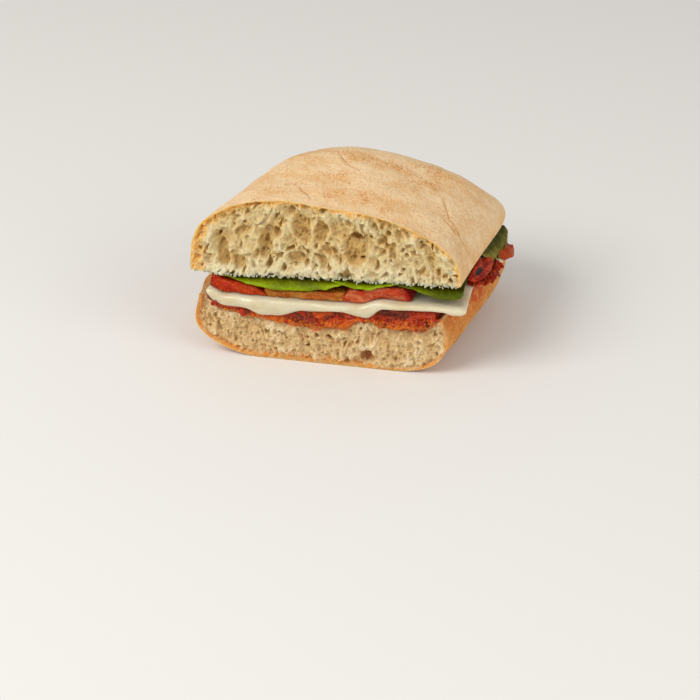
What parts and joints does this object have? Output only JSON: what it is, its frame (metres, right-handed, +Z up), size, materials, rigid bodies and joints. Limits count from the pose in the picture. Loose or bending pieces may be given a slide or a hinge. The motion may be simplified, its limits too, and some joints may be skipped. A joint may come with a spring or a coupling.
{
  "type": "panini half",
  "caption": "Half of a ciabatta sandwich cut straight across, with tomato spread, melted mozzarella, tomato slices and salad leaves between two breads.",
  "frame": {"origin": "centre of the bounding box, at the underside of the lower bread", "axes": "+X along the cut face to the right as one looks at it, +Y from the cut face into the loaf, +Z up"},
  "size_m": [0.1168, 0.0864, 0.068],
  "materials": {
    "bread": "floury baked crust outside, open cream crumb on the cut",
    "tomato_spread": "chunky, oily",
    "mozzarella": "melted, smooth, slightly translucent",
    "tomato": "wet cut flesh, red skin",
    "salad_leaf": "fresh, half gloss, veined",
    "dried_tomato": "wrinkled, oily"
  },
  "bodies": {
    "root": {"bread_base": "bread", "tomato_spread": "tomato_spread", "mozzarella": "mozzarella", "tomato_slice_left": "tomato", "tomato_slice_middle": "tomato", "tomato_slice_front": "tomato", "tomato_slice_rear_left": "tomato", "tomato_slice_rear_right": "tomato", "leaf_front_left": "salad_leaf", "leaf_front_middle": "salad_leaf", "leaf_front_right": "salad_leaf", "leaf_side_rear": "salad_leaf", "leaf_left": "salad_leaf", "leaf_back": "salad_leaf", "dried_tomato_side": "dried_tomato", "dried_tomato_rear": "dried_tomato", "bread_top": "bread"}
  },
  "joints": []
}
